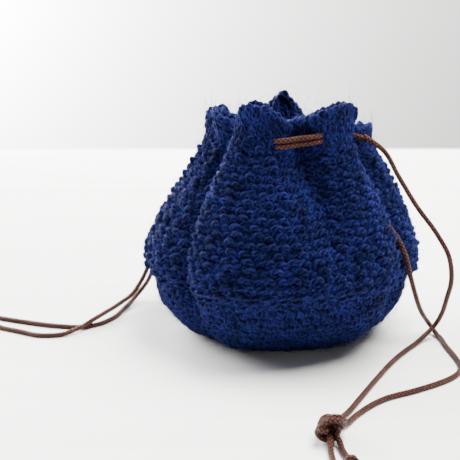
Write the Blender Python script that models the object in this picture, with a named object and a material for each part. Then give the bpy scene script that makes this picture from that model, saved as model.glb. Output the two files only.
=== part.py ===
"""A crocheted wool drawstring pouch, drawn half shut by two waxed cords.

The bag is worked in the round in one piece: a flat round base, a plain band,
a textured belly and a rim. Two cords run round the neck. One comes out at the
right and one at the left, and the two ends of each are tied together.
Metres, +Z up, front towards -Y, origin under the middle of the base.
"""

import bmesh
import bpy
import numpy as np
from mathutils import Matrix, Vector

MM = 0.001

# --- driving dimensions, in millimetres and degrees ---------------------------------
WALL = 3.2                # thickness of the crocheted fabric
CORD = 1.8                # diameter of the waxed cord
GAP = 0.3                 # space left between touching solids
AROUND = 96               # points round the bag
RIM_HEIGHT = 84.0         # height of the rim before its lobes rise and dip
FOOT_HEIGHT = 8.0         # the folds keep their base widths below this height
KNOT_SIZE = (7.6, 8.4, 7.2)   # the overhand knot that ties two ends together
END_KNOT = 1.9            # the small knot at a tail's tip, in cord diameters
TUBE_STEP = 2.2 * CORD    # distance between the points along a cord

# The outermost folds seen from the side: radius and height, from base to rim.
PROFILE = [
    (0.0, 0.0), (13.0, 0.0), (25.5, 0.0), (32.5, 1.5), (38.6, 5.2), (43.4, 10.4), (46.4, 16.2),
    (47.4, 21.0), (47.9, 24.2), (50.8, 28.2), (50.4, 33.0), (48.0, 38.8), (45.0, 45.0),
    (41.2, 51.8), (37.2, 58.6), (33.6, 65.0), (31.0, 70.6), (29.8, 75.5), (29.9, 80.0), (30.2, 84.0),
]
BASE_FLAT = 25.5          # radius of the flat underside

# Heights at which the folds below are described, from the rim down.
LEVELS = (84.0, 76.0, 52.0, 27.0, 8.0)

# Each inward fold: its angle and its depth at those heights, its half width at the
# rim and at the base, and how far its bottom leans under the lobe beside it.
# Angles run from the front (0) to the right (90).
FOLDS = {
    "front_left_crease": ((-50, -56, -61, -55, -53), (8.0, 10.0, 10.0, 9.0, 6.0), (8.5, 7.0), 9.0),
    "front_valley": ((4, 6, 18, 22, 22), (9.0, 8.5, 6.0, 0.9, 0.0), (11.0, 15.0), 0.0),
    "right_crease": ((66, 63, 68, 62, 58), (8.0, 10.5, 10.5, 6.5, 2.0), (9.0, 8.0), -5.0),
    "back_right_valley": ((124, 124, 121, 118, 118), (9.0, 9.0, 5.0, 0.8, 0.0), (10.0, 12.0), 0.0),
    "back_valley": ((158, 158, 159, 160, 160), (9.0, 9.0, 5.0, 0.5, 0.0), (8.0, 11.0), 0.0),
    "back_left_valley": ((-160, -160, -158, -156, -156), (9.0, 9.0, 5.5, 2.0, 0.5), (8.0, 9.0), 0.0),
    "left_valley": ((-112, -110, -106, -104, -104), (8.5, 9.0, 5.5, 2.5, 0.5), (9.0, 8.0), 0.0),
    "front_foot": ((4, 4, 4, 4, 4), (0.0, 0.0, 0.0, 2.0, 7.0), (40.0, 40.0), 0.0),
    "right_side": ((100, 100, 100, 100, 100), (0.0, 0.0, 0.6, 3.0, 3.0), (48.0, 48.0), 0.0),
    "left_side": ((-92, -92, -92, -92, -92), (2.5, 2.2, 1.4, 0.9, 0.5), (42.0, 42.0), 0.0),
    "left_tuck": ((-76, -76, -78, -80, -80), (4.0, 3.5, 1.2, 0.0, 0.0), (7.0, 8.0), 0.0),
}

# The back of the neck is pulled towards the front, fully so above the upper height.
PULLED = 0.52
PULL_LOW, PULL_HIGH = 40.0, 80.0

# How far the rim rises or dips at each angle.
RIM = [
    (-180, 3.0), (-160, -5.0), (-135, -5.0), (-112, -6.0), (-94, -3.0), (-78, 0.0), (-66, -1.0),
    (-54, -3.5), (-40, 2.0), (-26, 4.0), (-12, 2.5), (-2, -2.5), (10, -1.0), (22, 1.5), (35, 3.5),
    (46, 2.8), (55, 0.0), (64, -4.5), (92, -7.0), (124, -9.0), (142, -6.0), (160, -6.0), (180, 3.0),
]

# --- the neck cords: angle, radius and rise above the neck line ----------------------
NECK_LINE = 74.6          # height of the lower cord's middle round the neck
CORD_STEP = 2.45          # the upper cord lies this much higher
FRONT_CROSSING = [
    (-50, 15.6, 0.0), (-38, 16.4, -0.2), (-27, 20.5, -0.5), (-17, 26.0, -0.8), (-9, 29.3, -0.7),
    (0, 29.6, -0.2), (6, 29.4, 0.2), (12, 29.6, 0.5), (20, 29.3, 0.9), (28, 25.6, 0.8),
    (37, 20.4, 0.4),
]
BACK_CROSSING = [
    (104, 15.3, 0.0), (124, 15.2, 0.0), (140, 17.0, 0.0), (150, 22.5, 0.0), (156, 26.6, 0.0),
    (163, 27.0, -0.6), (169, 23.5, -2.4), (179, 18.0, -5.2), (-166, 15.4, -5.4), (-146, 15.2, -3.4),
]
RIGHT_NECK = [
    (66, 29.4, -2.9), (65.5, 24.0, -1.6), (72, 18.5, -0.6), (84, 16.0, 0.0), *BACK_CROSSING,
    (-126, 15.2, -1.4), (-106, 15.2, 0.0), (-88, 15.8, 0.0), (-68, 16.2, 0.0), *FRONT_CROSSING,
    (40, 16.4, 0.2), (46, 13.8, 0.0), (52, 14.2, 0.0), (56, 17.6, -0.6), (57, 23.2, -2.9),
]
LEFT_NECK = [
    (-107, 26.5, 0.4), (-106, 21.5, 0.2), (-99, 17.4, 0.0), (-86, 15.9, 0.0), (-68, 16.2, 0.0),
    *FRONT_CROSSING, (48, 16.4, 0.0), (62, 14.4, 0.0), (84, 15.2, 0.0), *BACK_CROSSING,
    (-130, 15.4, -1.2), (-121, 17.6, 0.0), (-118.5, 21.5, 0.2), (-118, 27.0, 0.4),
]

# --- the free cords, as points (x, y, z) ---------------------------------------------
RIGHT_LEG_OVER = [
    (27.6, -12.1, 73.9), (30.2, -12.2, 72.2), (34.2, -11.6, 69.0), (39.0, -14.5, 61.0),
    (45.2, -20.0, 51.0), (51.6, -24.0, 42.6), (55.8, -26.0, 35.2), (57.6, -25.0, 26.6),
    (57.4, -20.8, 17.0), (57.0, -16.6, 9.6), (55.6, -14.6, 5.0), (52.4, -16.8, 2.6),
    (47.8, -21.8, 1.2), (37.4, -35.7, 0.9), (29.3, -49.8, 0.9), (21.4, -64.6, 0.9),
    (15.8, -75.4, 1.3), (12.3, -82.6, 2.9),
]
RIGHT_LEG_UNDER = [
    (20.4, -13.8, 73.7), (21.4, -14.1, 72.0), (21.8, -13.9, 69.5), (22.4, -13.3, 65.5),
    (24.5, -13.7, 61.0), (28.7, -14.9, 54.0), (32.2, -16.6, 48.0), (36.0, -18.2, 43.5),
    (39.4, -19.8, 39.0), (41.6, -21.6, 34.0), (43.2, -22.6, 28.4), (45.8, -21.0, 20.4),
    (50.2, -15.2, 10.0), (54.6, -10.8, 3.2), (56.6, -15.0, 0.9), (57.6, -25.6, 0.9),
    (58.6, -34.6, 0.9), (58.7, -40.6, 0.9), (57.0, -46.0, 0.9), (53.4, -50.4, 0.9), (48.2, -54.4, 0.9),
    (40.2, -59.3, 0.9), (28.8, -65.4, 0.9), (19.2, -75.2, 0.9), (13.7, -83.5, 1.6),
]
RIGHT_KNOT_AT = (9.1, -88.4, 3.8)
RIGHT_TAIL_LONG = [
    (8.8, -93.4, 2.4), (8.6, -97.4, 1.2), (8.8, -102.6, 0.9), (9.4, -108.2, 1.1), (10.1, -115.5, 2.1),
]
RIGHT_TAIL_SHORT = [(11.4, -93.0, 2.0), (11.9, -96.4, 1.1), (12.7, -100.2, 1.1), (13.9, -106.0, 2.1)]

LEFT_LEG_OVER = [
    (-26.3, 3.0, 74.9), (-27.0, 5.0, 73.2), (-27.2, 8.5, 70.0), (-29.3, 11.0, 65.5),
    (-33.4, 12.0, 58.0), (-38.4, 13.0, 50.0), (-43.2, 14.0, 42.0), (-47.4, 15.0, 34.0),
    (-48.9, 16.0, 27.0), (-51.6, 17.5, 18.0), (-55.0, 18.0, 10.4),
    (-57.9, 15.4, 6.4), (-62.4, 9.0, 4.4), (-67.0, 1.6, 3.6),
    (-70.7, -4.6, 3.2), (-75.0, -9.6, 2.0), (-81.6, -14.2, 0.9), (-89.0, -15.0, 0.9),
    (-97.5, -11.3, 0.9), (-106.0, -7.2, 0.9), (-112.6, -3.0, 0.9), (-118.0, 0.6, 1.8), (-122.4, 2.9, 3.1),
]
LEFT_LEG_UNDER = [
    (-25.0, 6.1, 75.0), (-26.0, 7.4, 74.2), (-26.2, 12.0, 69.5), (-28.0, 15.5, 64.5),
    (-32.7, 17.1, 57.0), (-38.7, 18.4, 49.0), (-43.1, 19.6, 41.0), (-46.9, 20.6, 33.0),
    (-47.6, 21.6, 26.0), (-49.8, 23.2, 17.0), (-53.0, 23.6, 8.4),
    (-58.0, 22.4, 2.0), (-61.2, 13.4, 0.9), (-64.8, 1.6, 0.9),
    (-69.4, -4.2, 0.9), (-75.1, -6.8, 0.9), (-83.2, -6.3, 0.9), (-91.1, -4.3, 0.9),
    (-99.7, -1.3, 0.9), (-108.1, 1.9, 0.9), (-115.0, 5.4, 0.9), (-120.6, 6.6, 1.6),
]
LEFT_KNOT_AT = (-127.0, 4.6, 3.7)
LEFT_TAIL_LONG = [
    (-131.7, 5.4, 2.4), (-135.6, 6.2, 1.2), (-140.8, 7.6, 0.9), (-146.2, 9.6, 1.1), (-153.4, 12.8, 1.9),
]
LEFT_TAIL_SHORT = [(-131.8, 2.9, 2.0), (-135.2, 1.8, 1.1), (-139.2, 0.8, 1.1), (-145.0, -0.4, 1.9)]


def clear_scene():
    for obj in list(bpy.data.objects):
        bpy.data.objects.remove(obj, do_unlink=True)


def material(name, colour, roughness):
    """A plain finish with the piece's own colour."""
    made = bpy.data.materials.new(name)
    made.use_nodes = True
    shader = made.node_tree.nodes["Principled BSDF"]
    shader.inputs["Base Color"].default_value = (*colour, 1.0)
    shader.inputs["Roughness"].default_value = roughness
    shader.inputs["Metallic"].default_value = 0.0
    return made


# --- the folded cloth ------------------------------------------------------------------
def ease(x, xs, ys):
    """A smooth curve through the points (xs, ys), read at x."""
    xs = np.asarray(xs, float)
    ys = np.asarray(ys, float)
    slope = np.gradient(ys, xs)
    i = np.clip(np.searchsorted(xs, x) - 1, 0, len(xs) - 2)
    width = xs[i + 1] - xs[i]
    t = np.clip((x - xs[i]) / width, 0, 1)
    start = (1 + 2 * t) * (1 - t) ** 2 * ys[i] + t * (1 - t) ** 2 * width * slope[i]
    end = t * t * (3 - 2 * t) * ys[i + 1] + t * t * (t - 1) * width * slope[i + 1]
    return start + end


def turn_between(angle, centre):
    """The signed angle from centre to angle, from -180 to 180."""
    return (angle - centre + 180) % 360 - 180


PROFILE_R, PROFILE_Z = np.array(PROFILE).T
PROFILE_WAY = np.concatenate([[0.0], np.cumsum(np.hypot(np.diff(PROFILE_R), np.diff(PROFILE_Z)))])


def profile_at(way, inset):
    """Radius and height of the side view at a way along it, moved in by inset."""
    radius = ease(way, PROFILE_WAY, PROFILE_R)
    height = ease(way, PROFILE_WAY, PROFILE_Z)
    step = 0.5
    ahead_r = ease(way + step, PROFILE_WAY, PROFILE_R) - ease(way - step, PROFILE_WAY, PROFILE_R)
    ahead_z = ease(way + step, PROFILE_WAY, PROFILE_Z) - ease(way - step, PROFILE_WAY, PROFILE_Z)
    length = np.hypot(ahead_r, ahead_z) + 1e-9
    return radius - inset * ahead_z / length, height + inset * ahead_r / length


def drawn_in(x, y, z):
    """A place in mm, with the back of the neck pulled forward."""
    pull = np.clip((z - PULL_LOW) / (PULL_HIGH - PULL_LOW), 0, 1)
    behind = (y + np.sqrt(y * y + 64)) / 2
    return (x, y - PULLED * pull**2 * (3 - 2 * pull) * behind, z)


def cloth_point(angle, way, inset=0.0):
    """A point of the folded cloth, in mm, from its angle and its way up the profile."""
    radius, height = profile_at(way, inset)
    plain = ease(way, PROFILE_WAY, PROFILE_Z)
    fall = np.clip((RIM_HEIGHT - plain) / (RIM_HEIGHT - FOOT_HEIGHT), 0, 1)
    lean = 0.0
    for angles, depths, widths, leaning in FOLDS.values():
        down = -np.array(LEVELS)
        centre = ease(-plain, down, angles)
        half = widths[0] + (widths[1] - widths[0]) * fall
        depth = ease(-plain, down, depths) * np.clip(plain / 1.5, 0, 1)
        off = turn_between(angle, centre) / half
        radius = radius - depth * np.exp(-np.abs(off) ** 1.6)
        lean = lean + leaning * np.clip(depth / 8, 0, 1) * np.exp(-((off / 1.6) ** 2))
    rim_angles, rim_rises = np.array(RIM).T
    raised = np.clip((plain - 60) / 25, 0, 1)
    height = height + ease(turn_between(angle, 0), rim_angles, rim_rises) * raised**2 * (3 - 2 * raised)
    scallop = 1.6 * np.sin(np.radians(3 * angle + 60)) * np.exp(-(((plain - 23) / 7) ** 2))
    turned = np.radians(angle + lean)
    return Vector(drawn_in(radius * np.sin(turned), -radius * np.cos(turned), height + scallop)) * MM


def pouch_shell():
    """The whole bag: outside from the base up to the rim, then down the inside."""
    mesh = bmesh.new()
    angle_of = mesh.verts.layers.float.new("angle")
    bmesh.ops.create_circle(mesh, cap_ends=True, segments=AROUND, radius=BASE_FLAT * MM)
    for corner in mesh.verts:
        corner[angle_of] = np.degrees(np.arctan2(corner.co.x, -corner.co.y))
    outside = np.linspace(BASE_FLAT, PROFILE_WAY[-1], 25)[1:]
    inside = np.linspace(PROFILE_WAY[-1], BASE_FLAT - WALL, 21)
    ring = list(mesh.edges)
    for way, inset in [(w, 0.0) for w in outside] + [(w, WALL) for w in inside]:
        made = bmesh.ops.extrude_edge_only(mesh, edges=ring)["geom"]
        ring = [part for part in made if isinstance(part, bmesh.types.BMEdge)]
        for corner in (part for part in made if isinstance(part, bmesh.types.BMVert)):
            corner.co = cloth_point(corner[angle_of], way, inset)
    bmesh.ops.contextual_create(mesh, geom=ring)
    bmesh.ops.recalc_face_normals(mesh, faces=mesh.faces)
    bmesh.ops.triangulate(mesh, faces=[face for face in mesh.faces if len(face.verts) > 4])
    return mesh


def add_object(name, mesh, finish):
    data = bpy.data.meshes.new(name)
    mesh.to_mesh(data)
    mesh.free()
    data.materials.append(finish)
    data.shade_smooth()
    obj = bpy.data.objects.new(name, data)
    bpy.context.scene.collection.objects.link(obj)
    return obj


# --- the cords ---------------------------------------------------------------------------
def smooth_route(points, step):
    """Evenly spaced points on one smooth curve through the route's own points."""
    route = np.array(points, float)
    way = np.concatenate([[0.0], np.cumsum(np.linalg.norm(np.diff(route, axis=0), axis=1))])
    fine = np.linspace(0, way[-1], 40 * len(route))
    curve = np.stack([ease(fine, way, column) for column in route.T], axis=1)
    along = np.concatenate([[0.0], np.cumsum(np.linalg.norm(np.diff(curve, axis=0), axis=1))])
    even = np.linspace(0, along[-1], max(3, int(round(along[-1] / step)) + 1))
    places = np.stack([np.interp(even, along, column) for column in curve.T], axis=1)
    places[:, 2] = np.maximum(places[:, 2], CORD / 2)
    return places


def cord_tube(name, route, finish, diameter=CORD, tip_knot=False, step=TUBE_STEP):
    """A round cord along a route; a tail swells at its tip where it is knotted."""
    points = smooth_route(route, step)
    curve = bpy.data.curves.new(name, "CURVE")
    curve.dimensions = "3D"
    curve.bevel_depth = diameter / 2 * MM
    curve.bevel_resolution = 2
    curve.use_fill_caps = True
    spline = curve.splines.new("POLY")
    spline.points.add(len(points) - 1)
    for point, place in zip(spline.points, points):
        point.co = (*(place * MM), 1.0)
    if tip_knot:
        for back, size in ((2, END_KNOT), (3, END_KNOT), (4, 1.3)):
            spline.points[-back].radius = size
    curve.materials.append(finish)
    obj = bpy.data.objects.new(name, curve)
    bpy.context.scene.collection.objects.link(obj)
    return obj


def neck_route(turns, upper):
    """Places of a neck cord, the upper one a step above the lower."""
    places = []
    for angle, radius, rise in turns:
        turn = np.radians(angle)
        height = NECK_LINE + rise + (CORD_STEP if upper else 0.0)
        places.append(drawn_in(radius * np.sin(turn), -radius * np.cos(turn), height))
    return places


def bore_for(pouch, route, name, finish):
    """Opens the stitches where a neck cord passes in and out of the cloth."""
    cutter = cord_tube(name, route, finish, diameter=CORD + 2 * GAP)
    cutter_mesh = bpy.data.meshes.new_from_object(cutter)
    bpy.data.objects.remove(cutter)
    welded = bmesh.new()
    welded.from_mesh(cutter_mesh)
    bmesh.ops.remove_doubles(welded, verts=welded.verts, dist=0.001 * MM)
    bmesh.ops.recalc_face_normals(welded, faces=welded.faces)
    welded.to_mesh(cutter_mesh)
    welded.free()
    helper = bpy.data.objects.new(name, cutter_mesh)
    helper.hide_render = True
    helper.display_type = "WIRE"
    bpy.context.scene.collection.objects.link(helper)
    opened = pouch.modifiers.new(name, "BOOLEAN")
    opened.operation = "DIFFERENCE"
    opened.object = helper


def ball_knot(name, centre, finish):
    """The outer shape of the overhand knot that holds two cord ends together."""
    mesh = bmesh.new()
    place = Matrix.Translation(Vector(centre) * MM) @ Matrix.Diagonal((*KNOT_SIZE, 1.0))
    bmesh.ops.create_uvsphere(mesh, u_segments=16, v_segments=10, radius=0.5 * MM, matrix=place)
    return add_object(name, mesh, finish)


def main():
    clear_scene()
    wool = material("blue_wool", (0.012, 0.035, 0.20), 0.95)
    waxed = material("brown_waxed_cord", (0.10, 0.040, 0.022), 0.45)
    pouch = add_object("pouch_body", pouch_shell(), wool)
    right_neck = neck_route(RIGHT_NECK, upper=True)
    left_neck = neck_route(LEFT_NECK, upper=False)
    cord_tube("right_cord_neck", right_neck, waxed)
    cord_tube("left_cord_neck", left_neck, waxed)
    bore_for(pouch, right_neck, "right_cord_holes", wool)
    bore_for(pouch, left_neck, "left_cord_holes", wool)
    cord_tube("right_cord_leg_over", RIGHT_LEG_OVER, waxed)
    cord_tube("right_cord_leg_under", RIGHT_LEG_UNDER, waxed)
    cord_tube("left_cord_leg_over", LEFT_LEG_OVER, waxed)
    cord_tube("left_cord_leg_under", LEFT_LEG_UNDER, waxed)
    ball_knot("right_cord_knot", RIGHT_KNOT_AT, waxed)
    ball_knot("left_cord_knot", LEFT_KNOT_AT, waxed)
    cord_tube("right_cord_tail_long", RIGHT_TAIL_LONG, waxed, tip_knot=True, step=CORD)
    cord_tube("right_cord_tail_short", RIGHT_TAIL_SHORT, waxed, tip_knot=True, step=CORD)
    cord_tube("left_cord_tail_long", LEFT_TAIL_LONG, waxed, tip_knot=True, step=CORD)
    cord_tube("left_cord_tail_short", LEFT_TAIL_SHORT, waxed, tip_knot=True, step=CORD)


main()
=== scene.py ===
# %% [markdown]
# # A crocheted drawstring pouch
# A small wool pouch, crocheted in the round and drawn half shut by two waxed cords.
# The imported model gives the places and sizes; this script gives the looks: every
# stitch as looped yarn, the fuzz of the wool, and the braid and knots of the cords.

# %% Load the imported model
import math

import bmesh
import bpy
import numpy as np
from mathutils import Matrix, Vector


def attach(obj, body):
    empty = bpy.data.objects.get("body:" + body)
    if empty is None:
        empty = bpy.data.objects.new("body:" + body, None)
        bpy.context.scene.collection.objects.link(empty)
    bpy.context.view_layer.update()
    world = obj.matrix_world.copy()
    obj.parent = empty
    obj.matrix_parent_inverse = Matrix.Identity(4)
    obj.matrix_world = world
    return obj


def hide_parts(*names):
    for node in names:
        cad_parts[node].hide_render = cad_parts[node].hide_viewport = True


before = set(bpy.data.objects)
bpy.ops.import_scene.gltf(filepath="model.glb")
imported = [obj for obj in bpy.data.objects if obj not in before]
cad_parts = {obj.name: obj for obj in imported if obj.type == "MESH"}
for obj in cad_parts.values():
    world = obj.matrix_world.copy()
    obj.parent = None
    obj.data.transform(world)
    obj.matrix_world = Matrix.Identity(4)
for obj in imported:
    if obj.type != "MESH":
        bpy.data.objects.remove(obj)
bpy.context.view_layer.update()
MM = 0.001
random = np.random.default_rng(7)
print("nodes:", sorted(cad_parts))

# %% [markdown]
# ## The camera
# It stands in front of the pouch and a little above it, with a longish lens, so the
# mouth is seen from just over its rim and the cords run out across the table.

# %% Camera
CAMERA_DOWN = 16.5        # degrees that it looks down
LENS = 70.4               # mm on a 36 mm sensor
camera_data = bpy.data.cameras.new("camera")
camera_data.lens = LENS
camera_data.clip_start = 0.01
camera_data.dof.use_dof = True
camera_data.dof.focus_distance = 0.290
camera_data.dof.aperture_fstop = 32.0
camera = bpy.data.objects.new("camera", camera_data)
camera.location = Vector((-19.6, -320.8, 131.8)) * MM
camera.rotation_euler = (math.radians(90 - CAMERA_DOWN), 0.0, 0.0)
bpy.context.scene.collection.objects.link(camera)
bpy.context.scene.camera = camera
print("camera height", round(camera.location.z, 3))

# %% [markdown]
# ## The folded cloth
# The bag is one piece of cloth: a side view turned round the middle, with inward
# folds where it is gathered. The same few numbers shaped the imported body, so the
# yarn lies exactly on it. Angles run from the front (0) to the right (90).

# %% Side view and folds
PROFILE = [
    (0.0, 0.0), (13.0, 0.0), (25.5, 0.0), (32.5, 1.5), (38.6, 5.2), (43.4, 10.4), (46.4, 16.2),
    (47.4, 21.0), (47.9, 24.2), (50.8, 28.2), (50.4, 33.0), (48.0, 38.8), (45.0, 45.0),
    (41.2, 51.8), (37.2, 58.6), (33.6, 65.0), (31.0, 70.6), (29.8, 75.5), (29.9, 80.0), (30.2, 84.0),
]
RIM_HEIGHT = 84.0
FOOT_HEIGHT = 8.0
LEVELS = (84.0, 76.0, 52.0, 27.0, 8.0)
FOLDS = {
    "front_left_crease": ((-50, -56, -61, -55, -53), (8.0, 10.0, 10.0, 9.0, 6.0), (8.5, 7.0), 9.0),
    "front_valley": ((4, 6, 18, 22, 22), (9.0, 8.5, 6.0, 0.9, 0.0), (11.0, 15.0), 0.0),
    "right_crease": ((66, 63, 68, 62, 58), (8.0, 10.5, 10.5, 6.5, 2.0), (9.0, 8.0), -5.0),
    "back_right_valley": ((124, 124, 121, 118, 118), (9.0, 9.0, 5.0, 0.8, 0.0), (10.0, 12.0), 0.0),
    "back_valley": ((158, 158, 159, 160, 160), (9.0, 9.0, 5.0, 0.5, 0.0), (8.0, 11.0), 0.0),
    "back_left_valley": ((-160, -160, -158, -156, -156), (9.0, 9.0, 5.5, 2.0, 0.5), (8.0, 9.0), 0.0),
    "left_valley": ((-112, -110, -106, -104, -104), (8.5, 9.0, 5.5, 2.5, 0.5), (9.0, 8.0), 0.0),
    "front_foot": ((4, 4, 4, 4, 4), (0.0, 0.0, 0.0, 2.0, 7.0), (40.0, 40.0), 0.0),
    "right_side": ((100, 100, 100, 100, 100), (0.0, 0.0, 0.6, 3.0, 3.0), (48.0, 48.0), 0.0),
    "left_side": ((-92, -92, -92, -92, -92), (2.5, 2.2, 1.4, 0.9, 0.5), (42.0, 42.0), 0.0),
    "left_tuck": ((-76, -76, -78, -80, -80), (4.0, 3.5, 1.2, 0.0, 0.0), (7.0, 8.0), 0.0),
}
RIM = [
    (-180, 3.0), (-160, -5.0), (-135, -5.0), (-112, -6.0), (-94, -3.0), (-78, 0.0), (-66, -1.0),
    (-54, -3.5), (-40, 2.0), (-26, 4.0), (-12, 2.5), (-2, -2.5), (10, -1.0), (22, 1.5), (35, 3.5),
    (46, 2.8), (55, 0.0), (64, -4.5), (92, -7.0), (124, -9.0), (142, -6.0), (160, -6.0), (180, 3.0),
]
print(len(FOLDS), "folds")


# %% Points of the cloth
def ease(x, xs, ys):
    """A smooth curve through the points (xs, ys), read at x."""
    xs = np.asarray(xs, float)
    ys = np.asarray(ys, float)
    slope = np.gradient(ys, xs)
    i = np.clip(np.searchsorted(xs, x) - 1, 0, len(xs) - 2)
    width = xs[i + 1] - xs[i]
    t = np.clip((x - xs[i]) / width, 0, 1)
    start = (1 + 2 * t) * (1 - t) ** 2 * ys[i] + t * (1 - t) ** 2 * width * slope[i]
    end = t * t * (3 - 2 * t) * ys[i + 1] + t * t * (t - 1) * width * slope[i + 1]
    return start + end


PULLED = 0.52             # how far the back of the neck is pulled towards the front
PULL_LOW, PULL_HIGH = 40.0, 80.0


def drawn_in(points):
    """Pulls the back of the neck forward, more so towards the rim."""
    pull = np.clip((points[..., 2] - PULL_LOW) / (PULL_HIGH - PULL_LOW), 0, 1)
    pull = PULLED * pull**2 * (3 - 2 * pull)
    behind = (points[..., 1] + np.sqrt(points[..., 1] ** 2 + 64)) / 2
    return points - np.stack([0 * pull, pull * behind, 0 * pull], axis=-1)


PROFILE_R, PROFILE_Z = np.array(PROFILE).T
PROFILE_WAY = np.concatenate([[0.0], np.cumsum(np.hypot(np.diff(PROFILE_R), np.diff(PROFILE_Z)))])


def cloth_points(angle, way):
    """Points of the folded cloth in mm, from angles and ways up the side view."""
    radius = ease(way, PROFILE_WAY, PROFILE_R)
    height = ease(way, PROFILE_WAY, PROFILE_Z)
    plain = height
    fall = np.clip((RIM_HEIGHT - plain) / (RIM_HEIGHT - FOOT_HEIGHT), 0, 1)
    lean = 0.0
    for angles, depths, widths, leaning in FOLDS.values():
        down = -np.array(LEVELS)
        centre = ease(-plain, down, angles)
        half = widths[0] + (widths[1] - widths[0]) * fall
        depth = ease(-plain, down, depths) * np.clip(plain / 1.5, 0, 1)
        off = ((angle - centre + 180) % 360 - 180) / half
        radius = radius - depth * np.exp(-np.abs(off) ** 1.6)
        lean = lean + leaning * np.clip(depth / 8, 0, 1) * np.exp(-((off / 1.6) ** 2))
    rim_angles, rim_rises = np.array(RIM).T
    raised = np.clip((plain - 60) / 25, 0, 1)
    rise = ease((angle + 180) % 360 - 180, rim_angles, rim_rises)
    height = height + rise * raised**2 * (3 - 2 * raised)
    height = height + 1.6 * np.sin(np.radians(3 * angle + 60)) * np.exp(-(((plain - 23) / 7) ** 2))
    turned = np.radians(angle + lean)
    return drawn_in(np.stack([radius * np.sin(turned), -radius * np.cos(turned), height], axis=-1))


# %% [markdown]
# Stitches are all the same width, so more of them go into a fold than across a flat
# stretch. Each round of the cloth is therefore measured along its folds, and places
# are asked for as "turn" (0 to 1 round the bag by length) and "way" (mm up the side).

# %% Even places on the cloth
ROUNDS, TURNS = 240, 1440
way_lines = np.linspace(0.5, PROFILE_WAY[-1], ROUNDS)
angle_lines = np.linspace(-180, 180, TURNS + 1)
grid = cloth_points(angle_lines[None, :], way_lines[:, None])
even = np.empty_like(grid)
for row, line in enumerate(grid):
    along = np.concatenate([[0.0], np.cumsum(np.linalg.norm(np.diff(line, axis=0), axis=1))])
    wanted = np.linspace(0, along[-1], TURNS + 1)
    for axis in range(3):
        even[row, :, axis] = np.interp(wanted, along, line[:, axis])
across = np.gradient(even, axis=1)
across[:, 0] = across[:, -1] = (even[:, 1] - even[:, -2]) / 2
upward = np.gradient(even, axis=0)
outward = np.cross(across, upward)
outward /= np.linalg.norm(outward, axis=-1, keepdims=True) + 1e-12
round_length = np.linalg.norm(np.diff(even, axis=1), axis=-1).sum(axis=1)


def read_grid(table, turn, way):
    """Reads a table of the even grid between its lines."""
    x = (turn % 1.0) * TURNS
    y = np.clip((way - way_lines[0]) / (way_lines[-1] - way_lines[0]), 0, 1) * (ROUNDS - 1)
    i = np.minimum(x.astype(int), TURNS - 1)
    j = np.minimum(y.astype(int), ROUNDS - 2)
    fx = (x - i)[..., None]
    fy = (y - j)[..., None]
    low = table[j, i] * (1 - fx) + table[j, i + 1] * fx
    high = table[j + 1, i] * (1 - fx) + table[j + 1, i + 1] * fx
    return low * (1 - fy) + high * fy


def on_cloth(turn, way, lift):
    """Points in mm at a lift above the middle of the yarn."""
    turn = np.asarray(turn, float)
    way = np.asarray(way, float)
    return read_grid(even, turn, way) + read_grid(outward, turn, way) * np.asarray(lift)[..., None]


print("cloth round the belly:", round(float(round_length[ROUNDS // 2])), "mm")

# %% [markdown]
# ## The crocheted yarn
# Single crochet shows a V for each stitch, its two legs rising out of the hole below,
# and the chain that tops the row. The belly is worked in a short and a tall stitch by
# turns, and each row shifts by one, which gives the pebbled face. The yarn of a
# round is one curve that is given its thickness by a bevel, as yarn is one strand.

# %% Stitch plan
YARN = 1.95               # thickness of the yarn, mm
SINK = 0.55               # how far the yarn's middle lies inside the cloth's outer face, mm
STITCHES = 80             # stitches in a full round
GROWTH = 7                # stitches that each round of the base adds
ROW = 2.76                # height of a row, mm
row_count = int(round((PROFILE_WAY[-1] - 2.0) / ROW))
row_height = (PROFILE_WAY[-1] - 1.0) / row_count
BAND_TOP = 25.0           # height where the plain band ends and the textured belly starts
PLAIN_RIM = 73.0          # height above which the rows are plain again
# The V: (sideways in stitches, upwards in rows, lift in yarn thicknesses)
PLAIN_V = [
    (-0.46, 0.92, 0.30), (-0.38, 0.66, 0.46), (-0.25, 0.34, 0.50), (-0.13, 0.04, 0.34),
    (-0.04, -0.22, -0.10), (0.05, -0.24, -0.26), (0.13, 0.00, 0.24), (0.24, 0.32, 0.50),
    (0.37, 0.66, 0.46), (0.46, 0.92, 0.26), (0.50, 1.05, -0.10),
]
HIGH_BUMP = [
    (-0.50, 0.30, -0.15), (-0.42, 0.62, 0.45), (-0.22, 0.84, 0.88), (0.02, 0.88, 1.00),
    (0.26, 0.72, 0.88), (0.42, 0.38, 0.40), (0.30, 0.04, 0.16), (0.08, 0.16, 0.48),
    (-0.12, 0.22, 0.40), (-0.16, -0.08, 0.00), (0.12, -0.18, -0.25), (0.40, 0.02, -0.35),
]
LOW_BUMP = [
    (-0.50, 0.28, -0.18), (-0.40, 0.52, 0.28), (-0.22, 0.70, 0.55), (0.02, 0.74, 0.62),
    (0.24, 0.60, 0.52), (0.38, 0.30, 0.15), (0.26, 0.06, 0.02), (0.06, 0.14, 0.18),
    (-0.12, 0.18, 0.12), (-0.12, -0.06, -0.10), (0.14, -0.14, -0.28), (0.42, 0.02, -0.35),
]
CHAIN = [(-0.40, 1.04, 0.10), (-0.12, 1.14, 0.34), (0.14, 0.98, 0.26), (0.38, 0.88, 0.02)]
print(row_count, "rows,", STITCHES, "stitches in a full round")


# %% Yarn of one round
def stitches_in(row):
    return min(STITCHES, GROWTH * (row + 1))


def stitch_kind(row, stitch, height):
    """Plain in the base, band and rim; tall and short by turns in the belly."""
    if height < BAND_TOP or height > PLAIN_RIM:
        return PLAIN_V
    return HIGH_BUMP if (row + stitch) % 2 else LOW_BUMP


def wobble(amount):
    return random.normal(0.0, amount)


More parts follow.
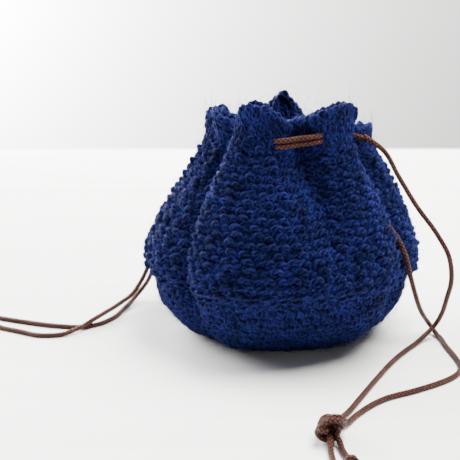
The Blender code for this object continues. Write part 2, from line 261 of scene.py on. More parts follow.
def round_of_yarn(row, slant):
    """The two strands of a round: its Vs and the chain on top of them."""
    count = stitches_in(row)
    middle = (row + 0.5) * row_height
    height = float(ease(middle, PROFILE_WAY, PROFILE_Z))
    legs, chain = [], []
    for stitch in range(count):
        shape = stitch_kind(row, stitch, height)
        size = 1.0 + wobble(0.07)
        aside, aloft, swell = wobble(0.06), wobble(0.08), wobble(0.12)
        for side, up, lift in shape:
            turn = (stitch + 0.5 + side * size + aside + 0.12 * (up - 0.5) + wobble(0.02)) / count + slant
            legs.append((turn, (row + up * size + aloft) * row_height, (lift + swell + wobble(0.05)) * YARN))
        for side, up, lift in CHAIN:
            turn = (stitch + 0.5 + side + aside) / count + slant
            lower = -0.22 if shape is LOW_BUMP else 0.0
            chain.append((turn, (row + up + aloft) * row_height, (lift + lower + swell) * YARN))
    return [np.array(legs), np.array(chain)]


# %% Yarn curves to meshes
def yarn_mesh(name, strands, thickness, sides_step, closed=True):
    """One mesh of round yarn along many strands, each an array of points in mm."""
    curve = bpy.data.curves.new(name, "CURVE")
    curve.dimensions = "3D"
    curve.bevel_depth = thickness / 2 * MM
    curve.bevel_resolution = sides_step
    for points in strands:
        spline = curve.splines.new("POLY")
        spline.points.add(len(points) - 1)
        spline.use_cyclic_u = closed
        flat = np.concatenate([points * MM, np.ones((len(points), 1))], axis=1)
        spline.points.foreach_set("co", flat.ravel())
    holder = bpy.data.objects.new(name, curve)
    bpy.context.scene.collection.objects.link(holder)
    mesh = bpy.data.meshes.new_from_object(holder)
    bpy.data.objects.remove(holder)
    bpy.data.curves.remove(curve)
    mesh.name = name
    mesh.shade_smooth()
    return mesh


def stretch_along(mesh, strands, sides):
    """Makes the map run in mm along each strand, so the ply has one scale everywhere."""
    layer = mesh.uv_layers[0].data
    uv = np.empty(len(layer) * 2)
    layer.foreach_get("uv", uv)
    uv = uv.reshape(-1, 2)
    corner = np.empty(len(mesh.loops), int)
    mesh.loops.foreach_get("vertex_index", corner)
    start = np.concatenate([[0], np.cumsum([len(points) * sides for points in strands])])
    strand = np.searchsorted(start, corner, side="right") - 1
    length = np.array([np.linalg.norm(np.diff(p, axis=0), axis=1).sum() for p in strands])
    uv[:, 0] = uv[:, 0] * length[strand] / 10 + strand * 0.37
    layer.foreach_set("uv", uv.ravel())


def add_piece(name, mesh, *materials):
    for made in materials:
        mesh.materials.append(made)
    obj = bpy.data.objects.new(name, mesh)
    bpy.context.scene.collection.objects.link(obj)
    return obj


# %% [markdown]
# ## Wool
# Wool yarn is plied: fine twisted strands of slightly different blues, with painted
# shade in the hollows between them. The map runs along the yarn, so slanted waves read as plies and
# long thin noise reads as fibres. A velvety sheen stands for the finest fibres.

# %% Node helpers
def link(tree, source, target):
    tree.links.new(source, target)


def value_node(tree, kind, **values):
    node = tree.nodes.new(kind)
    for name, value in values.items():
        if name in node.inputs:
            node.inputs[name].default_value = value
        else:
            setattr(node, name, value)
    return node


def math_node(tree, operation, first, second=None):
    node = tree.nodes.new("ShaderNodeMath")
    node.operation = operation
    for socket, value in zip(node.inputs, (first, second)):
        if isinstance(value, (int, float)):
            socket.default_value = value
        elif value is not None:
            link(tree, value, socket)
    return node.outputs[0]


def ramp_node(tree, factor, stops):
    node = tree.nodes.new("ShaderNodeValToRGB")
    ramp = node.color_ramp
    while len(ramp.elements) < len(stops):
        ramp.elements.new(0.5)
    for element, (place, colour) in zip(ramp.elements, stops):
        element.position = place
        element.color = (*colour, 1.0)
    link(tree, factor, node.inputs["Fac"])
    return node.outputs["Color"]


# %% Yarn ply and fibre group
def yarn_group():
    """Plies and fibres along a strand: their fibre tone with painted shade in the ply hollows, their relief and a
    patchy tone.
    """
    tree = bpy.data.node_groups.new("yarn_ply", "ShaderNodeTree")
    faces = tree.interface
    for name, start in (("Plies", 3.0), ("Twist", 5.0), ("Fibre", 1.0)):
        faces.new_socket(name, in_out="INPUT", socket_type="NodeSocketFloat").default_value = start
    faces.new_socket("Relief", in_out="OUTPUT", socket_type="NodeSocketFloat")
    faces.new_socket("Tone_And_Painted_Shade", in_out="OUTPUT", socket_type="NodeSocketFloat")
    faces.new_socket("Patch", in_out="OUTPUT", socket_type="NodeSocketFloat")
    given = tree.nodes.new("NodeGroupInput")
    out = tree.nodes.new("NodeGroupOutput")
    uv = tree.nodes.new("ShaderNodeUVMap")
    uv.uv_map = "UVMap"
    split = tree.nodes.new("ShaderNodeSeparateXYZ")
    link(tree, uv.outputs["UV"], split.inputs[0])
    along = math_node(tree, "MULTIPLY", split.outputs["X"], given.outputs["Twist"])
    around = math_node(tree, "MULTIPLY", split.outputs["Y"], given.outputs["Plies"])
    phase = math_node(tree, "MULTIPLY", math_node(tree, "ADD", along, around), 2 * math.pi)
    wave = math_node(tree, "MULTIPLY_ADD", math_node(tree, "SINE", phase), 0.5)
    wave.node.inputs[2].default_value = 0.5
    ply = math_node(tree, "POWER", wave, 0.6)
    place = tree.nodes.new("ShaderNodeCombineXYZ")
    link(tree, math_node(tree, "MULTIPLY", split.outputs["X"], 9.0), place.inputs["X"])
    skewed = math_node(tree, "MULTIPLY_ADD", split.outputs["X"], 4.0)
    link(tree, split.outputs["Y"], skewed.node.inputs[2])
    link(tree, math_node(tree, "MULTIPLY", skewed, 26.0), place.inputs["Y"])
    fibres = value_node(tree, "ShaderNodeTexNoise", Scale=1.0, Detail=3.0, Roughness=0.65)
    link(tree, place.outputs[0], fibres.inputs["Vector"])
    strength = math_node(tree, "MULTIPLY", fibres.outputs["Fac"], given.outputs["Fibre"])
    relief = math_node(tree, "MULTIPLY_ADD", ply, 0.7)
    link(tree, strength, relief.node.inputs[2])
    link(tree, relief, out.inputs["Relief"])
    # Fibre tone, plus painted shade where the ply wave dips into the hollows between plies.
    shade = math_node(tree, "MULTIPLY_ADD", fibres.outputs["Fac"], 0.75)
    link(tree, math_node(tree, "MULTIPLY", ply, 0.32), shade.node.inputs[2])
    link(tree, shade, out.inputs["Tone_And_Painted_Shade"])
    space = tree.nodes.new("ShaderNodeTexCoord")
    patches = value_node(tree, "ShaderNodeTexNoise", Scale=160.0, Detail=2.0, Roughness=0.5)
    link(tree, space.outputs["Object"], patches.inputs["Vector"])
    link(tree, patches.outputs["Fac"], out.inputs["Patch"])
    return tree


YARN_PLY = yarn_group()


# %% Wool material
def wool(name, dark, middle, light, sheen):
    made = bpy.data.materials.new(name)
    made.use_nodes = True
    tree = made.node_tree
    shader = tree.nodes["Principled BSDF"]
    ply = tree.nodes.new("ShaderNodeGroup")
    ply.node_tree = YARN_PLY
    # The tone carries the group's painted ply-hollow shade into the wool colour.
    tone = math_node(tree, "MULTIPLY_ADD", ply.outputs["Patch"], 0.5)
    link(tree, math_node(tree, "SUBTRACT", ply.outputs["Tone_And_Painted_Shade"], 0.30), tone.node.inputs[2])
    colour = ramp_node(tree, tone, [(0.22, dark), (0.50, middle), (0.85, light)])
    link(tree, colour, shader.inputs["Base Color"])
    bump = value_node(tree, "ShaderNodeBump", Strength=0.85, Distance=0.00028)
    link(tree, ply.outputs["Relief"], bump.inputs["Height"])
    link(tree, bump.outputs["Normal"], shader.inputs["Normal"])
    shader.inputs["Roughness"].default_value = 0.82
    shader.inputs["Specular IOR Level"].default_value = 0.06
    shader.inputs["Specular Tint"].default_value = (0.60, 0.65, 1.0, 1.0)
    shader.inputs["Sheen Weight"].default_value = sheen
    shader.inputs["Sheen Roughness"].default_value = 0.45
    shader.inputs["Sheen Tint"].default_value = (0.12, 0.22, 0.85, 1.0)
    return made


WOOL = wool("blue_wool_yarn", (0.0002, 0.0003, 0.0018), (0.0011, 0.0015, 0.0140), (0.0130, 0.0140, 0.125), 0.12)
CORE = wool("blue_wool_shadow", (0.0012, 0.002, 0.010), (0.003, 0.005, 0.030), (0.006, 0.012, 0.070), 0.1)
print("wool materials ready")

# %% [markdown]
# ## Make the bag
# The rounds are sorted into pieces by where they lie. Each piece stands for part of
# the imported body, which stays behind it, hidden.

# %% Crochet the bag
PARTS = (("pouch_base", 0.0, 33.0), ("pouch_band", 33.0, 61.0), ("pouch_belly", 61.0, 84.0),
         ("pouch_shoulder", 84.0, 108.0), ("pouch_rim", 108.0, 200.0))
strands_of = {name: [] for name, low, high in PARTS}
for row in range(row_count):
    middle = (row + 0.5) * row_height
    part = next(name for name, low, high in PARTS if low <= middle < high)
    for strand in round_of_yarn(row, 0.5 * (row % 2) / stitches_in(row)):
        turn, way, lift = strand.T
        places = on_cloth(turn, way, lift - SINK)
        places[:, 2] = np.maximum(places[:, 2], YARN / 2)
        strands_of[part].append(places)
strands_of["pouch_rim_inside"] = []
for row in range(row_count - 9, row_count):
    for strand in round_of_yarn(row, 0.25 / STITCHES):
        turn, way, lift = strand.T
        strands_of["pouch_rim_inside"].append(on_cloth(turn, way, -2.6 - 0.7 * lift))
for name, strands in strands_of.items():
    mesh = yarn_mesh(name, strands, YARN, 1)
    stretch_along(mesh, strands, 6)
    piece = add_piece(name, mesh, WOOL)
    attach(piece, "root")
    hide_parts("pouch_body")
    mesh.calc_loop_triangles()
    print(name, len(strands), "strands", len(mesh.loop_triangles), "triangles")

# %% [markdown]
# Behind the outer yarn lies the inside of the cloth. It closes the holes between the
# stitches and is what shows through the mouth, so it gets rows of its own as relief.

# %% Lining side of the cloth
INNER_RINGS, INNER_SIDES = 66, 240
CLOTH_DEPTH = 1.3         # how far the backing lies behind the face at its outer side, mm
CLOTH_WALL = 2.4          # thickness of the cloth behind the face, mm


def backing():
    """A closed shell behind the yarn, drawn out ring by ring from the base."""
    mesh = bmesh.new()
    kept = mesh.verts.layers.float.new("turn")
    bmesh.ops.create_circle(mesh, cap_ends=True, segments=INNER_SIDES, radius=6 * MM)
    for corner in mesh.verts:
        corner[kept] = math.atan2(-corner.co.x, corner.co.y) / (2 * math.pi) % 1.0
    top = PROFILE_WAY[-1] - 1.6
    outer = [(way, -CLOTH_DEPTH) for way in np.linspace(6.0, top, INNER_RINGS)]
    rows = np.linspace(top - 0.4, 9.0, INNER_RINGS)
    inner = [(way, -CLOTH_DEPTH - CLOTH_WALL + 0.35 * math.sin(2 * math.pi * way / row_height)) for way in rows]
    corners, ring = list(mesh.verts), list(mesh.edges)
    for step, (way, lift) in enumerate(outer + inner):
        if step:
            made = bmesh.ops.extrude_edge_only(mesh, edges=ring)["geom"]
            ring = [part for part in made if isinstance(part, bmesh.types.BMEdge)]
            corners = [part for part in made if isinstance(part, bmesh.types.BMVert)]
        turns = np.array([corner[kept] for corner in corners])
        places = on_cloth(turns, np.full(len(turns), way), np.full(len(turns), lift))
        for corner, place in zip(corners, places):
            corner.co = Vector((place[0], place[1], max(place[2], YARN))) * MM
    bmesh.ops.contextual_create(mesh, geom=ring)
    bmesh.ops.recalc_face_normals(mesh, faces=mesh.faces)
    data = bpy.data.meshes.new("pouch_inside")
    mesh.to_mesh(data)
    mesh.free()
    data.shade_smooth()
    return data


inside = add_piece("pouch_inside", backing(), CORE)
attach(inside, "root")
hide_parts("pouch_body")
print("inside:", len(inside.data.polygons), "faces")

# %% [markdown]
# ## Fuzz
# Wool sheds fine fibres that lie over the stitches and stand off at the edges, where
# light from behind picks them out; their blues are lighter than the yarn's, a painted glow of that backlight. Each one
# is a short bent ribbon on the cloth.

# %% Fibres
FIBRES = 15000
FIBRE_WIDTH = 0.055       # mm
STRAYS = 260              # long fibres that stand well off the cloth


def fibres(count, length, stand, points):
    """Bent lines that start in the cloth and wander over it, each an array in mm."""
    turn = random.random(count)
    way = random.uniform(14.0, PROFILE_WAY[-1] + 0.6, count)
    heading = random.uniform(0, 2 * math.pi, count)
    bend = random.normal(0.0, 0.45, count)
    reach = length * random.uniform(0.5, 1.4, count) / (points - 1)
    rise = stand * random.gamma(1.6, 0.6, count)
    lines = []
    for step in range(points):
        t = step / (points - 1)
        lift = YARN * 0.45 + random.normal(0, 0.10, count) + rise * (0.25 * math.sin(math.pi * t) + t**1.5)
        place = on_cloth(turn, np.minimum(way, PROFILE_WAY[-1] + 0.3), lift)
        place[:, 2] += np.maximum(way - PROFILE_WAY[-1], 0)
        lines.append(place)
        around = 2 * math.pi * np.hypot(place[:, 0], place[:, 1]) + 60
        turn = turn + reach * np.cos(heading) / around
        way = way + reach * np.sin(heading)
        heading = heading + bend + random.normal(0, 0.25, count)
    made = np.stack(lines, axis=1)
    made[..., 2] = np.maximum(made[..., 2], 0.3)
    return made


def ribbon_mesh(name, lines, width):
    curve = bpy.data.curves.new(name, "CURVE")
    curve.dimensions = "3D"
    curve.extrude = width / 2 * MM
    for points in lines:
        spline = curve.splines.new("POLY")
        spline.points.add(len(points) - 1)
        flat = np.concatenate([points * MM, np.ones((len(points), 1))], axis=1)
        spline.points.foreach_set("co", flat.ravel())
        spline.points.foreach_set("tilt", np.full(len(points), random.uniform(0, math.pi)))
    holder = bpy.data.objects.new(name, curve)
    bpy.context.scene.collection.objects.link(holder)
    mesh = bpy.data.meshes.new_from_object(holder)
    bpy.data.objects.remove(holder)
    bpy.data.curves.remove(curve)
    mesh.name = name
    return mesh


def fluff(name):
    """Fluff takes its light evenly, as a fibre does, and has no ply of its own; its blues are lighter than the yarn's,
    a painted glow of fibres lit from behind.
    """
    made = bpy.data.materials.new(name)
    made.use_nodes = True
    tree = made.node_tree
    shader = tree.nodes["Principled BSDF"]
    space = tree.nodes.new("ShaderNodeTexCoord")
    patches = value_node(tree, "ShaderNodeTexNoise", Scale=900.0, Detail=1.0)
    link(tree, space.outputs["Object"], patches.inputs["Vector"])
    # These blues are the fibres' own blue lightened with a painted backlit glow.
    blues = [(0.35, (0.004, 0.006, 0.055)), (0.65, (0.026, 0.042, 0.27))]
    colour = ramp_node(tree, patches.outputs["Fac"], blues)
    link(tree, colour, shader.inputs["Base Color"])
    shader.inputs["Roughness"].default_value = 0.7
    shader.inputs["Specular IOR Level"].default_value = 0.08
    return made


FLUFF_WITH_PAINTED_GLOW = fluff("blue_wool_fluff_painted_glow")
for name, lines in (("pouch_fuzz", fibres(FIBRES, 6.5, 1.0, 6)), ("pouch_stray_fibres", fibres(STRAYS, 11.0, 3.2, 9))):
    piece = add_piece(name, ribbon_mesh(name, lines, FIBRE_WIDTH), FLUFF_WITH_PAINTED_GLOW)
    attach(piece, "root")
    piece.data.calc_loop_triangles()
    print(name, len(piece.data.loop_triangles), "triangles")

# %% [markdown]
# ## Waxed cord
# The drawcords are thin braided cords, waxed so that they hold a curve. The braid is
# two sets of slanted ribs that cross; the map runs along the cord as it does on yarn.

# %% Braid group and cord material
def braid_group():
    """Two crossing sets of ribs along a cord: their relief and the painted shade of the gaps between."""
    tree = bpy.data.node_groups.new("cord_braid", "ShaderNodeTree")
    faces = tree.interface
    for name, start in (("Ribs Around", 4.0), ("Ribs Along", 8.0)):
        faces.new_socket(name, in_out="INPUT", socket_type="NodeSocketFloat").default_value = start
    faces.new_socket("Relief", in_out="OUTPUT", socket_type="NodeSocketFloat")
    faces.new_socket("Painted_Gap_Shade", in_out="OUTPUT", socket_type="NodeSocketFloat")
    given = tree.nodes.new("NodeGroupInput")
    out = tree.nodes.new("NodeGroupOutput")
    uv = tree.nodes.new("ShaderNodeUVMap")
    uv.uv_map = "UVMap"
    split = tree.nodes.new("ShaderNodeSeparateXYZ")
    link(tree, uv.outputs["UV"], split.inputs[0])
    along = math_node(tree, "MULTIPLY", split.outputs["X"], given.outputs["Ribs Along"])
    around = math_node(tree, "MULTIPLY", split.outputs["Y"], given.outputs["Ribs Around"])
    ribs = []
    for operation in ("ADD", "SUBTRACT"):
        phase = math_node(tree, "MULTIPLY", math_node(tree, operation, along, around), math.pi)
        ribs.append(math_node(tree, "ABSOLUTE", math_node(tree, "SINE", phase)))
    relief = math_node(tree, "MULTIPLY", ribs[0], ribs[1])
    link(tree, math_node(tree, "POWER", relief, 0.5), out.inputs["Relief"])
    link(tree, relief, out.inputs["Painted_Gap_Shade"])
    return tree


BRAID = braid_group()


def waxed_cord():
    made = bpy.data.materials.new("brown_waxed_cord")
    made.use_nodes = True
    tree = made.node_tree
    shader = tree.nodes["Principled BSDF"]
    braid = tree.nodes.new("ShaderNodeGroup")
    braid.node_tree = BRAID
    braid.inputs["Ribs Around"].default_value = 4.0
    braid.inputs["Ribs Along"].default_value = 7.0
    space = tree.nodes.new("ShaderNodeTexCoord")
    patches = value_node(tree, "ShaderNodeTexNoise", Scale=240.0, Detail=2.0)
    link(tree, space.outputs["Object"], patches.inputs["Vector"])
    # The braid's gaps are darkened in the colour: painted shade in the recesses between ribs.
    tone = math_node(tree, "MULTIPLY_ADD", braid.outputs["Painted_Gap_Shade"], 0.6)
    link(tree, math_node(tree, "MULTIPLY", patches.outputs["Fac"], 0.6), tone.node.inputs[2])
    browns = [(0.15, (0.012, 0.0036, 0.0028)), (0.55, (0.038, 0.0135, 0.0105)), (1.0, (0.120, 0.050, 0.037))]
    colour = ramp_node(tree, tone, browns)
    link(tree, colour, shader.inputs["Base Color"])
    bump = value_node(tree, "ShaderNodeBump", Strength=1.0, Distance=0.0004)
    link(tree, braid.outputs["Relief"], bump.inputs["Height"])
    link(tree, bump.outputs["Normal"], shader.inputs["Normal"])
    shader.inputs["Roughness"].default_value = 0.45
    shader.inputs["Specular IOR Level"].default_value = 0.10
    shader.inputs["Specular Tint"].default_value = (1.0, 0.70, 0.58, 1.0)
    return made


WAXED = waxed_cord()

# %% [markdown]
# ## Cord routes
# Each cord is one length: round the neck, in and out through the stitches, then two
# free legs that curve down to the table and meet in an overhand knot, and two tails.
# The free legs hold their springy curve in the air and settle on the table.

# %% Cord routes
CORD = 1.8                # diameter of the waxed cord, mm
NECK_LINE = 74.6
CORD_STEP = 1.95
FRONT_CROSSING = [
    (-50, 15.6, 0.0), (-38, 16.4, -0.2), (-27, 20.5, -0.5), (-17, 26.0, -0.8), (-9, 29.3, -0.7),
    (0, 29.6, -0.2), (6, 29.4, 0.2), (12, 29.6, 0.5), (20, 29.3, 0.9), (28, 25.6, 0.8),
    (37, 20.4, 0.4),
]
BACK_CROSSING = [
    (104, 15.3, 0.0), (124, 15.2, 0.0), (140, 17.0, 0.0), (150, 22.5, 0.0), (156, 26.6, 0.0),
    (163, 27.0, -0.6), (169, 23.5, -2.4), (179, 18.0, -5.2), (-166, 15.4, -5.4), (-146, 15.2, -3.4),
]
RIGHT_NECK = [
    (66, 29.4, -2.9), (65.5, 24.0, -1.6), (72, 18.5, -0.6), (84, 16.0, 0.0), *BACK_CROSSING,
    (-126, 15.2, -1.4), (-106, 15.2, 0.0), (-88, 15.8, 0.0), (-68, 16.2, 0.0), *FRONT_CROSSING,
    (40, 16.4, 0.2), (46, 13.8, 0.0), (52, 14.2, 0.0), (56, 17.6, -0.6), (57, 23.2, -2.9),
]
LEFT_NECK = [
    (-107, 26.5, 0.4), (-106, 21.5, 0.2), (-99, 17.4, 0.0), (-86, 15.9, 0.0), (-68, 16.2, 0.0),
    *FRONT_CROSSING, (48, 16.4, 0.0), (62, 14.4, 0.0), (84, 15.2, 0.0), *BACK_CROSSING,
    (-130, 15.4, -1.2), (-121, 17.6, 0.0), (-118.5, 21.5, 0.2), (-118, 27.0, 0.4),
]
LEGS = {
    "right_cord_leg_over": [
        (27.6, -12.1, 73.9), (30.2, -12.2, 72.2), (34.2, -11.6, 69.0), (39.0, -14.5, 61.0),
        (45.2, -20.0, 51.0), (51.6, -24.0, 42.6), (55.8, -26.0, 35.2), (57.6, -25.0, 26.6),
        (57.4, -20.8, 17.0), (57.0, -16.6, 9.6), (55.6, -14.6, 5.0), (52.4, -16.8, 2.6),
        (47.8, -21.8, 1.2), (37.4, -35.7, 0.9), (29.3, -49.8, 0.9), (21.4, -64.6, 0.9),
        (15.8, -75.4, 1.3), (12.3, -82.6, 2.9),
    ],
    "right_cord_leg_under": [
        (20.4, -13.8, 73.7), (21.4, -14.1, 72.0), (21.8, -13.9, 69.5), (22.4, -13.3, 65.5),
        (24.5, -13.7, 61.0), (28.7, -14.9, 54.0), (32.2, -16.6, 48.0), (36.0, -18.2, 43.5),
        (39.4, -19.8, 39.0), (41.6, -21.6, 34.0), (43.2, -22.6, 28.4), (45.8, -21.0, 20.4),
        (50.2, -15.2, 10.0), (54.6, -10.8, 3.2), (56.6, -15.0, 0.9), (57.6, -25.6, 0.9),
        (58.6, -34.6, 0.9), (58.7, -40.6, 0.9), (57.0, -46.0, 0.9), (53.4, -50.4, 0.9), (48.2, -54.4, 0.9),
        (40.2, -59.3, 0.9), (28.8, -65.4, 0.9), (19.2, -75.2, 0.9), (13.7, -83.5, 1.6),
    ],
    "left_cord_leg_over": [
        (-26.3, 3.0, 74.9), (-27.0, 5.0, 73.2), (-27.2, 8.5, 70.0), (-29.3, 11.0, 65.5),
        (-33.4, 12.0, 58.0), (-38.4, 13.0, 50.0), (-43.2, 14.0, 42.0), (-47.4, 15.0, 34.0),
        (-48.9, 16.0, 27.0), (-51.6, 17.5, 18.0), (-55.0, 18.0, 10.4),
        (-57.9, 15.4, 6.4), (-62.4, 9.0, 4.4), (-67.0, 1.6, 3.6),
        (-70.7, -4.6, 3.2), (-75.0, -9.6, 2.0), (-81.6, -14.2, 0.9), (-89.0, -15.0, 0.9),
        (-97.5, -11.3, 0.9), (-106.0, -7.2, 0.9), (-112.6, -3.0, 0.9), (-118.0, 0.6, 1.8), (-122.4, 2.9, 3.1),
    ],
    "left_cord_leg_under": [
        (-25.0, 6.1, 75.0), (-26.0, 7.4, 74.2), (-26.2, 12.0, 69.5), (-28.0, 15.5, 64.5),
        (-32.7, 17.1, 57.0), (-38.7, 18.4, 49.0), (-43.1, 19.6, 41.0), (-46.9, 20.6, 33.0),
        (-47.6, 21.6, 26.0), (-49.8, 23.2, 17.0), (-53.0, 23.6, 8.4),
        (-58.0, 22.4, 2.0), (-61.2, 13.4, 0.9), (-64.8, 1.6, 0.9),
        (-69.4, -4.2, 0.9), (-75.1, -6.8, 0.9), (-83.2, -6.3, 0.9), (-91.1, -4.3, 0.9),
        (-99.7, -1.3, 0.9), (-108.1, 1.9, 0.9), (-115.0, 5.4, 0.9), (-120.6, 6.6, 1.6),
    ],
}
TAILS = {
    "right_cord_tail_long": [
        (8.8, -93.4, 2.4), (8.6, -97.4, 1.2), (8.8, -102.6, 0.9), (9.4, -108.2, 1.1), (10.1, -115.5, 2.1),
    ],
    "right_cord_tail_short": [
        (11.4, -93.0, 2.0), (11.9, -96.4, 1.1), (12.7, -100.2, 1.1), (13.9, -106.0, 2.1),
    ],
    "left_cord_tail_long": [
        (-131.7, 5.4, 2.4), (-135.6, 6.2, 1.2), (-140.8, 7.6, 0.9), (-146.2, 9.6, 1.1), (-153.4, 12.8, 1.9),
    ],
    "left_cord_tail_short": [
        (-131.8, 2.9, 2.0), (-135.2, 1.8, 1.1), (-139.2, 0.8, 1.1), (-145.0, -0.4, 1.9),
    ],
}
KNOTS = {
    "right_cord_knot": ((9.1, -88.4, 3.8), (-0.30, -0.95, 0.0)),
    "left_cord_knot": ((-127.0, 4.6, 3.7), (-0.97, 0.24, 0.0)),
}


# %% Smooth cords
def smooth_route(points, step):
    """Evenly spaced points on one smooth curve through the route's own points."""
    route = np.array(points, float)
    way = np.concatenate([[0.0], np.cumsum(np.linalg.norm(np.diff(route, axis=0), axis=1))])
    fine = np.linspace(0, way[-1], 40 * len(route))
    curve = np.stack([ease(fine, way, column) for column in route.T], axis=1)
    along = np.concatenate([[0.0], np.cumsum(np.linalg.norm(np.diff(curve, axis=0), axis=1))])
    spaced = np.linspace(0, along[-1], max(3, int(round(along[-1] / step)) + 1))
    places = np.stack([np.interp(spaced, along, column) for column in curve.T], axis=1)
    places[:, 2] = np.maximum(places[:, 2], CORD / 2)
    return places


def neck_route(turns, upper):
    places = []
    for angle, radius, rise in turns:
        turn = math.radians(angle)
        height = NECK_LINE + rise + (CORD_STEP if upper else 0.0)
        places.append((radius * math.sin(turn), -radius * math.cos(turn), height))
    return drawn_in(np.array(places))


def cord_mesh(name, strands):
    mesh = yarn_mesh(name, strands, CORD, 3, closed=False)
    stretch_along(mesh, strands, 10)
    return mesh


def knot_strands(centre, travel):
    """The wraps of an overhand knot tied in two strands, side by side round their line."""
    ahead = Vector(travel).normalized()
    side = ahead.cross(Vector((0, 0, 1))).normalized()
    upright = side.cross(ahead)
    wraps = [(-3.0, 170, 0.9), (-2.7, 230, 2.0), (-2.2, 300, 2.45), (-1.5, 370, 2.5), (-0.9, 440, 2.5),
             (-0.2, 510, 2.5), (0.6, 580, 2.5), (1.4, 650, 2.5), (2.0, 720, 2.45), (2.4, 780, 1.9), (2.5, 830, 0.9)]
    over = [(2.2, 20, 1.0), (2.6, 60, 2.4), (1.3, 95, 3.6), (-0.4, 130, 4.0), (-1.9, 165, 3.5), (-2.9, 200, 2.4), (-2.6, 235, 1.0)]
    strands = []
    for route, apart in ((wraps, 1.75), (over, 1.7)):
        for shift in (-0.5, 0.5):
            points = []
            for along, degrees, radius in route:
                turn = math.radians(degrees)
                push = along + shift * apart + 0.25 * math.sin(turn) * radius
                out = side * math.cos(turn) + upright * math.sin(turn)
                points.append(tuple(Vector(centre) + (push * 1.18 + 0.6) * ahead + 1.14 * radius * out))
            strands.append(smooth_route(points, 0.45))
    return strands


def tip_wrap(route):
    """A turn and a half of cord round a tail just before its tip."""
    end = Vector(route[-1])
    along = (end - Vector(route[-2])).normalized()
    side = along.cross(Vector((0, 0, 1))).normalized()
    other = along.cross(side)
    points = []
    for t in np.linspace(0, 1, 26):
        turn = 2 * math.pi * 1.6 * t
        place = end - along * (3.4 - 2.2 * t) + 1.15 * (side * math.cos(turn) + other * math.sin(turn))
        points.append(tuple(place))
    return np.array(points)


# %% Make the cords
def length_of(points):
    return float(np.linalg.norm(np.diff(points, axis=0), axis=1).sum()) * MM


def reach_back(points, by=1.2):
    """The same points with one more in front, so a leg starts inside the neck cord's end."""
    first, second = Vector(points[0]), Vector(points[1])
    return [tuple(first - (second - first).normalized() * by), *points]


for name, turns, upper in (("right_cord_neck", RIGHT_NECK, True), ("left_cord_neck", LEFT_NECK, False)):
    loop = smooth_route(neck_route(turns, upper), 0.7)
    ring = add_piece(name + "_braid", cord_mesh(name + "_braid", [loop]), WAXED)
    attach(ring, "root")
    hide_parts(name)

knots = {}
for name, (centre, travel) in KNOTS.items():
    knots[name] = add_piece(name + "_tied", cord_mesh(name + "_tied", knot_strands(centre, travel)), WAXED)
    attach(knots[name], "root")
    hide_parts(name)

for side in ("right", "left"):
    knot = side + "_cord_knot"
    centre = Vector(KNOTS[knot][0])
    for leg, tail, aside in (("leg_over", "tail_short", 0.6), ("leg_under", "tail_long", -0.6)):
        middle = (centre.x, centre.y, centre.z + aside)
        route = smooth_route([*reach_back(LEGS[f"{side}_cord_{leg}"]), middle, *TAILS[f"{side}_cord_{tail}"]], 0.7)
        name = f"{side}_cord_strand_{leg[4:]}"
        strand = add_piece(name, cord_mesh(name, [route, tip_wrap(TAILS[f"{side}_cord_{tail}"])]), WAXED)
        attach(strand, "root")
        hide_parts(f"{side}_cord_{leg}", f"{side}_cord_{tail}")
        print(name, round(length_of(route) * 1000), "mm")

# %% [markdown]
# ## Table and light
# A pale table that ends before a pale wall, a big soft window behind on the left and
# a lamp on the wall there, a soft ceiling, and a weak fill from the front, so the
# bag's rim glows and its front stays deep.

# %% Table and wall
def panel(name, corners, material):
    """One flat four-cornered face."""
    mesh = bmesh.new()
    mesh.faces.new([mesh.verts.new(corner) for corner in corners])
    data = bpy.data.meshes.new(name)
    mesh.to_mesh(data)
    mesh.free()
    piece = add_piece(name, data, material)
    return piece


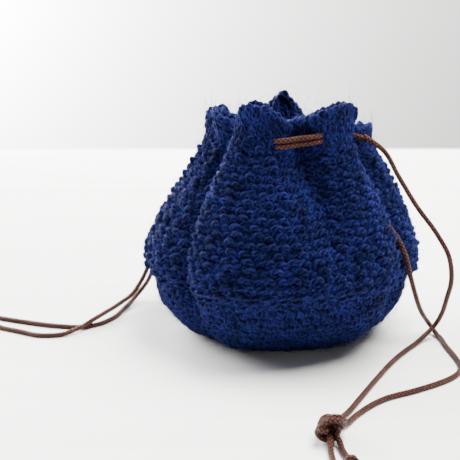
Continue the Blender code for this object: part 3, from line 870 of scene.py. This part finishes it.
def paint(name, dark, light, stretch):
    made = bpy.data.materials.new(name)
    made.use_nodes = True
    tree = made.node_tree
    shader = tree.nodes["Principled BSDF"]
    space = tree.nodes.new("ShaderNodeTexCoord")
    streaks = tree.nodes.new("ShaderNodeMapping")
    streaks.inputs["Scale"].default_value = stretch
    link(tree, space.outputs["Object"], streaks.inputs["Vector"])
    grain = value_node(tree, "ShaderNodeTexNoise", Scale=14.0, Detail=5.0)
    link(tree, streaks.outputs["Vector"], grain.inputs["Vector"])
    relief = value_node(tree, "ShaderNodeBump", Strength=0.35, Distance=0.0004)
    link(tree, grain.outputs["Fac"], relief.inputs["Height"])
    link(tree, relief.outputs["Normal"], shader.inputs["Normal"])
    link(tree, ramp_node(tree, grain.outputs["Fac"], [(0.3, dark), (0.7, light)]), shader.inputs["Base Color"])
    shader.inputs["Roughness"].default_value = 0.5
    return made


TABLE_END = 0.335
panel("table", [(-1.4, -0.8, 0), (1.4, -0.8, 0), (1.4, TABLE_END, 0), (-1.4, TABLE_END, 0)],
      paint("pale_table", (0.84, 0.83, 0.80), (0.93, 0.92, 0.90), (0.6, 6.0, 1.0)))
panel("wall", [(-1.6, 1.0, -0.8), (1.6, 1.0, -0.8), (1.6, 1.0, 1.5), (-1.6, 1.0, 1.5)],
      paint("pale_wall", (0.345, 0.34, 0.333), (0.36, 0.355, 0.348), (0.2, 0.2, 0.2)))


# %% Lights
def area_light(name, place, aim, size, power, colour):
    data = bpy.data.lights.new(name, "AREA")
    data.shape = "RECTANGLE"
    data.size, data.size_y = size
    data.energy = power
    data.color = colour
    obj = bpy.data.objects.new(name, data)
    obj.location = place
    obj.rotation_euler = (Vector(aim) - Vector(place)).to_track_quat("-Z", "Y").to_euler()
    bpy.context.scene.collection.objects.link(obj)


area_light("window", (-0.80, 0.60, 0.55), (0, 0, 0.04), (0.9, 0.8), 54.0, (0.98, 0.99, 1.0))
area_light("ceiling", (0.30, 0.14, 1.0), (0, 0, 0), (0.9, 0.7), 66.0, (1.0, 0.99, 0.97))
area_light("wall_wash", (-0.70, 0.76, 0.30), (-0.46, 1.0, 0.18), (0.3, 0.4), 200.0, (1.0, 1.0, 1.0))
area_light("fill", (0.35, -0.75, 0.35), (0, 0, 0.04), (0.6, 0.5), 0.4, (1.0, 0.98, 0.95))
world = bpy.data.worlds.new("room")
world.use_nodes = True
world.node_tree.nodes["Background"].inputs["Color"].default_value = (0.95, 0.96, 1.0, 1.0)
world.node_tree.nodes["Background"].inputs["Strength"].default_value = 0.16
bpy.context.scene.world = world
